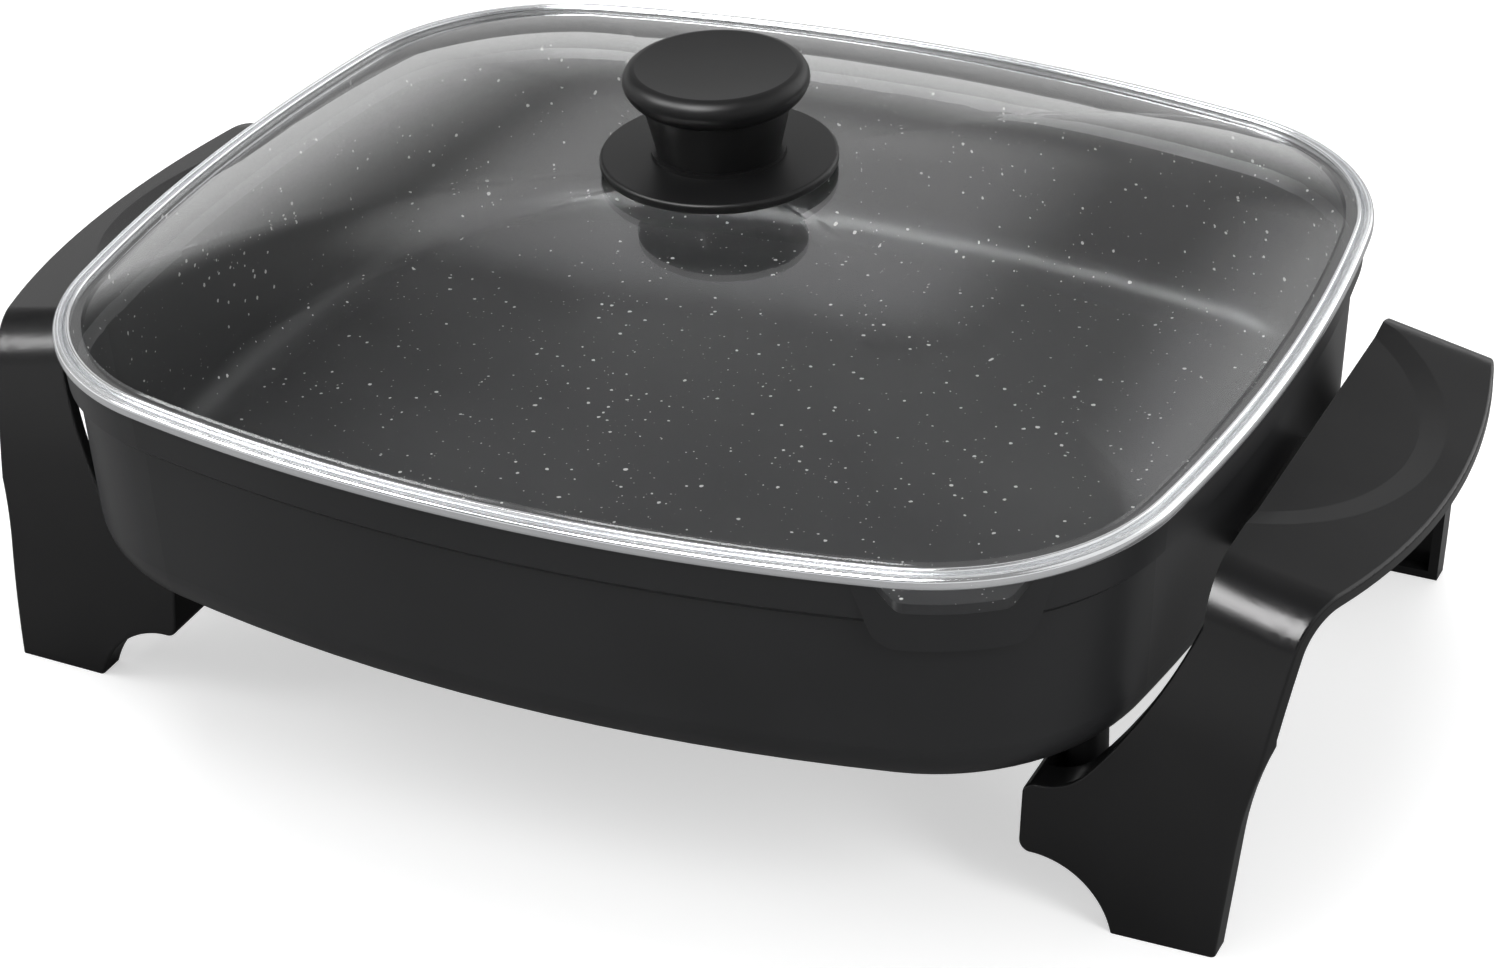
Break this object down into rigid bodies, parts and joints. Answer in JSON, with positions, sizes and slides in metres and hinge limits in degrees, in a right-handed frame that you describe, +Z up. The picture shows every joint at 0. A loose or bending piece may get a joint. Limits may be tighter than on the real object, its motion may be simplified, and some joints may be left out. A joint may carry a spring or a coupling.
{
  "type": "electric skillet",
  "caption": "Rectangular electric skillet with a lift-off domed glass lid, black knob, two handles with legs, and a plug-in heat controller.",
  "frame": {"origin": "on the table under the middle of the pan, midway between the two handles", "axes": "+X to the right handle, +Y to the back, +Z up; the heat controller is at -X"},
  "size_m": [0.512, 0.36, 0.2136],
  "materials": {
    "pan_aluminium": "charcoal nonstick coating, satin outside and pale-flecked inside",
    "black_plastic": "moulded near-black phenolic with a low gloss",
    "knob_plastic": "moulded near-black phenolic, semi-matte",
    "lid_glass": "clear tempered glass",
    "rim_steel": "polished stainless band",
    "sheath_steel": "drawn stainless sheath",
    "bright_metal": "nickel plate",
    "brass": "bright brass",
    "ceramic_white": "glazed steatite",
    "gasket_grey": "dark silicone",
    "lamp_red": "translucent red lens",
    "lamp_glass": "clear neon lamp"
  },
  "bodies": {
    "base": {"pan": "pan_aluminium", "heating_element": "sheath_steel", "terminal_pins": "bright_metal", "terminal_bushings": "ceramic_white", "inlet_guard": "black_plastic", "guard_screws": "bright_metal", "right_handle": "black_plastic", "left_handle": "black_plastic", "right_spacer": "gasket_grey", "left_spacer": "gasket_grey", "handle_screws": "bright_metal", "leg_screws": "bright_metal", "leg_washers": "bright_metal"},
    "lid": {"lid_glass": "lid_glass", "lid_rim": "rim_steel", "knob_gasket": "gasket_grey", "knob_shield": "knob_plastic", "knob": "knob_plastic", "knob_insert": "brass", "knob_washer": "bright_metal", "knob_screw": "bright_metal"},
    "controller": {"controller_top": "black_plastic", "controller_base": "black_plastic", "housing_screws": "bright_metal", "contact_block": "black_plastic", "contact_sleeves": "brass", "probe": "sheath_steel", "thermostat_frame": "sheath_steel", "thermostat_spacers": "ceramic_white", "thermostat_blades": "brass", "thermostat_rivet": "bright_metal", "contact_points": "bright_metal", "cord_gland": "gasket_grey", "lamp_lens": "lamp_red", "neon_lamp": "lamp_glass"},
    "temperature_dial": {"dial": "black_plastic", "dial_shaft": "sheath_steel"}
  },
  "joints": [
    {"name": "lid_lift", "type": "slide", "parent": "base", "child": "lid", "axis": [0, 0, 1], "range_m": [0, 0.12]},
    {"name": "controller_pull", "type": "slide", "parent": "base", "child": "controller", "axis": [-1, 0, 0], "range_m": [0, 0.13]},
    {"name": "dial_turn", "type": "hinge", "parent": "controller", "child": "temperature_dial", "pos_m": [-0.248, 0, 0.053], "axis": [1, 0, 0], "range_deg": [0, 270]}
  ]
}
